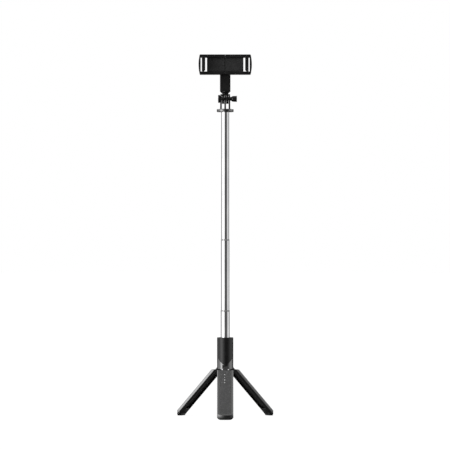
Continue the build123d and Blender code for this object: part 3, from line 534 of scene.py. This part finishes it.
# %% a ring of bars
bar_ring, given, result = geometry_tree("bar_ring", {
    "Centre": "Vector", "Ring Radius": "Float", "Count": "Int", "Bar Radius": "Float", "Bar Length": "Float",
    "Material": "Material"})
circle = put(bar_ring, "GeometryNodeMeshCircle", Vertices=given.outputs["Count"],
             Radius=given.outputs["Ring Radius"])
bar = put(bar_ring, "GeometryNodeMeshCylinder", Vertices=10, Radius=given.outputs["Bar Radius"],
          Depth=given.outputs["Bar Length"])
bars = put(bar_ring, "GeometryNodeInstanceOnPoints", Points=circle, Instance=bar.outputs["Mesh"])
moved = put(bar_ring, "GeometryNodeTransform", Geometry=bars.outputs[0], Translation=given.outputs["Centre"])
end_tree(bar_ring, given, moved.outputs[0], result)

# %% ribs on the jaw pads
rib_pitch = 0.0019
rib_radius = 0.00045
rib_sunk = 0.00015            # how far a rib's axis lies under the pad's face
for side, inwards in (("left", 1), ("right", -1)):
    low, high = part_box("jaw_pad_" + side)
    face_x = high.x if side == "left" else low.x
    count = int((high.z - low.z - 0.002) / rib_pitch)
    first_z = (low.z + high.z) / 2 - (count - 1) * rib_pitch / 2
    ribs = grown(bar_row, "pad_ribs_" + side,
                 Start=(face_x - inwards * rib_sunk, (low.y + high.y) / 2, first_z),
                 Step=(0.0, 0.0, rib_pitch), Count=count,
                 Bar_Radius=rib_radius, Bar_Length=high.y - low.y - 0.0016,
                 Turn=(math.pi / 2, 0.0, 0.0), Material=finishes["rubber_black"])
    finished(ribs, "pad_ribs_" + side, body_of["jaw_pad_" + side], "rubber_black")
    print(side, "pad has", count, "ribs")

# %% ribs on the lock ring
low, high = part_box("lock_ring")
ring_radius = (high.x - low.x) / 2
ribs = grown(bar_ring, "lock_ring_ribs", Centre=(rod.x, rod.y, high.z - 0.0005),
             Ring_Radius=ring_radius - 0.0001, Count=30, Bar_Radius=0.0003, Bar_Length=0.0008,
             Material=finishes["hinge_black"])
finished(ribs, "lock_ring_ribs", body_of["lock_ring"], "hinge_black")
print("lock ring radius", round(ring_radius * 1000, 2), "mm")

# %% [markdown]
# ## Clamp springs
# Two tension springs inside the clamp pull its halves together. The design keeps each one's place as a
# plain sleeve. The real thing is wire wound in a helix, which a spiral curve with a round profile gives.
# The real springs stretch as the clamp opens; these coils keep the length of the design's sleeves.

# %% the spring tree
coil, given, result = geometry_tree("coil", {
    "Start": "Vector", "Turns": "Float", "Coil Radius": "Float", "Wire Radius": "Float", "Length": "Float",
    "Material": "Material"})
spiral = put(coil, "GeometryNodeCurveSpiral", Resolution=20, Rotations=given.outputs["Turns"],
             Start_Radius=given.outputs["Coil Radius"], End_Radius=given.outputs["Coil Radius"],
             Height=given.outputs["Length"])
wire = put(coil, "GeometryNodeCurvePrimitiveCircle", Resolution=8, Radius=given.outputs["Wire Radius"])
wound = put(coil, "GeometryNodeCurveToMesh", Curve=spiral.outputs[0], Profile_Curve=wire.outputs[0],
            Fill_Caps=True)
lying = put(coil, "GeometryNodeTransform", Geometry=wound, Rotation=(0, math.pi / 2, 0),
            Translation=given.outputs["Start"])
end_tree(coil, given, lying.outputs[0], result)

# %% the two springs
low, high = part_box("clamp_springs")
outer = (high.y - low.y) / 2
wire_radius = 0.0003
turns = 20.0
springs = bmesh.new()
for height in (low.z + outer, high.z - outer):
    wound = grown(coil, "spring", Start=(low.x, (low.y + high.y) / 2, height), Turns=turns,
                  Coil_Radius=outer - wire_radius, Wire_Radius=wire_radius, Length=high.x - low.x,
                  Material=finishes["steel"])
    springs.from_mesh(wound)
coil_mesh = bpy.data.meshes.new("clamp_coils")
bmesh.ops.recalc_face_normals(springs, faces=springs.faces)
springs.to_mesh(coil_mesh)
springs.free()
coil_mesh.materials.append(finishes["steel"])
coils = bpy.data.objects.new("clamp_coils", coil_mesh)
scene.collection.objects.link(coils)
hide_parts("clamp_springs")
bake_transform(coils)
print("springs", round((high.x - low.x) * 1000, 1), "mm long,", round(outer * 2000, 1), "mm across")

# %% [markdown]
# ## Thumb knob
# The tilt hinge is tightened by a small knob with finger lobes, which flares outwards and has a hollow
# end. Its shape follows a rule: a profile turned round the bolt, with a wave round its rim. A grid of points
# is bent into that surface. One curve gives each row its radius and another gives its place along the bolt.

# %% the knob tree
knob_tree, given, result = geometry_tree("lobed_knob", {
    "Start": "Vector", "Length": "Float", "Radius": "Float", "Lobes": "Int", "Lobe Depth": "Float",
    "Material": "Material"})


def profile(name, along, rows):
    """A curve from a point's row on the grid to a share of the radius or of the length."""
    shape = put(knob_tree, "ShaderNodeFloatCurve", {"label": name}, Value=along)
    line = shape.mapping.curves[0]
    line.points[0].location, line.points[1].location = rows[0], rows[-1]
    for row in rows[1:-1]:
        line.points.new(*row)
    for point in line.points:
        point.handle_type = "VECTOR"
    shape.mapping.update()
    return shape.outputs[0]


cloth = put(knob_tree, "GeometryNodeMeshGrid", Size_X=1.0, Size_Y=1.0, Vertices_X=121, Vertices_Y=61)
spot = put(knob_tree, "ShaderNodeSeparateXYZ", Vector=put(knob_tree, "GeometryNodeInputPosition"))
angle = maths(knob_tree, "MULTIPLY_ADD", spot.outputs[0], 2 * math.pi, math.pi)
row = maths(knob_tree, "ADD", spot.outputs[1], 0.5)
radius_share = profile("radius", row, (
    (0, 0), (0.12, 0.56), (0.16, 0.62), (0.3, 0.68), (0.42, 0.86), (0.5, 0.95), (0.74, 1), (0.78, 0.97),
    (0.81, 0.86), (0.84, 0.78), (0.9, 0.5), (1, 0)))
length_share = profile("length", row, (
    (0, 0), (0.12, 0), (0.16, 0.03), (0.3, 0.16), (0.42, 0.28), (0.5, 0.38), (0.74, 0.96), (0.78, 1),
    (0.81, 0.98), (0.84, 0.9), (0.9, 0.84), (1, 0.8)))
wave = maths(knob_tree, "COSINE", maths(knob_tree, "MULTIPLY", angle, given.outputs["Lobes"]))
lobed = maths(knob_tree, "MULTIPLY_ADD", maths(knob_tree, "SUBTRACT", wave, 1.0),
              given.outputs["Lobe Depth"], 1.0)
around_bolt = maths(knob_tree, "MULTIPLY", radius_share, given.outputs["Radius"])
reach = maths(knob_tree, "MULTIPLY", around_bolt, lobed)
bent = put(knob_tree, "ShaderNodeCombineXYZ",
           X=maths(knob_tree, "MULTIPLY", length_share, given.outputs["Length"]),
           Y=maths(knob_tree, "MULTIPLY", reach, maths(knob_tree, "COSINE", angle)),
           Z=maths(knob_tree, "MULTIPLY", reach, maths(knob_tree, "SINE", angle)))
turned = put(knob_tree, "GeometryNodeSetPosition", Geometry=cloth.outputs[0], Position=bent,
             Offset=given.outputs["Start"])
closed = put(knob_tree, "GeometryNodeMergeByDistance", Geometry=turned, Distance=0.000004)
end_tree(knob_tree, given, closed.outputs[0], result)

# %% the knob
low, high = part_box("thumb_knob")
tip_share = 0.52              # lobe tips stand a little past half the box, as the valleys cut inside it
knob_mesh = grown(knob_tree, "thumb_knob_lobed", Start=(low.x, (low.y + high.y) / 2, (low.z + high.z) / 2),
                  Length=high.x - low.x, Radius=(high.z - low.z) * tip_share, Lobes=7, Lobe_Depth=0.045,
                  Material=finishes["hinge_black"])
shape = bmesh.new()
shape.from_mesh(knob_mesh)
bmesh.ops.recalc_face_normals(shape, faces=shape.faces)
shape.to_mesh(knob_mesh)
shape.free()
finished(knob_mesh, "thumb_knob_lobed", body_of["thumb_knob"], "hinge_black", "thumb_knob")
print("knob has", len(knob_mesh.polygons), "faces")

# %% [markdown]
# ## Pull marks
# A column of small printed marks on the front leg shows which way the leg folds out. Plain triangles say
# it without words. They are one triangle repeated down the panel, a fraction of a millimetre thick.

# %% printed marks
finishes["print_white"] = shader("print_white", 0.62, 0.72, (0.5, 0.6), 2500.0, 0.000004, 0.5, wear_and_highlight_strength=1.0,
                                 dusty=0.05)
mark_row, given, result = geometry_tree("mark_row", {
    "Start": "Vector", "Step": "Vector", "Count": "Int", "Size": "Float", "Tilt": "Vector",
    "Material": "Material"})
points = put(mark_row, "GeometryNodeMeshLine", {"mode": "OFFSET"}, Count=given.outputs["Count"],
             Start_Location=given.outputs["Start"], Offset=given.outputs["Step"])
mark = put(mark_row, "GeometryNodeMeshCylinder", Vertices=3, Radius=given.outputs["Size"], Depth=0.00012)
marks = put(mark_row, "GeometryNodeInstanceOnPoints", Points=points, Instance=mark.outputs["Mesh"],
            Rotation=given.outputs["Tilt"])
end_tree(mark_row, given, marks.outputs[0], result)

low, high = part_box("leg_inlay_front")
tilt = math.atan2(abs(low.y - high.y), high.z - low.z)      # the leg leans this far from upright
down = Vector((0, -math.sin(tilt), -math.cos(tilt)))
outwards = Vector((0, -math.cos(tilt), math.sin(tilt)))
panel_points = [vertex.co for vertex in nodes["leg_inlay_front"].data.vertices]
crown = max((point - Vector((0, rod.y, 0))).dot(outwards) for point in panel_points)
mark_pitch = 0.0052
mark_size = 0.0012
mark_aside = 0.0008           # left of the panel's middle
proud = 0.00001
first_z = high.z - 0.0065
base = Vector((rod.x - mark_aside, rod.y, 0)) + outwards * (crown + proud)
start = base + down * ((first_z - base.z) / down.z)
marks = grown(mark_row, "pull_marks", Start=tuple(start), Step=tuple(down * mark_pitch), Count=4,
              Size=mark_size, Tilt=(math.pi / 2 - tilt, 0.0, 0.0), Material=finishes["print_white"])
pull = bpy.data.objects.new("pull_marks", marks)
scene.collection.objects.link(pull)
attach(pull, "leg_front")
print("leg leans", round(math.degrees(tilt), 1), "degrees")
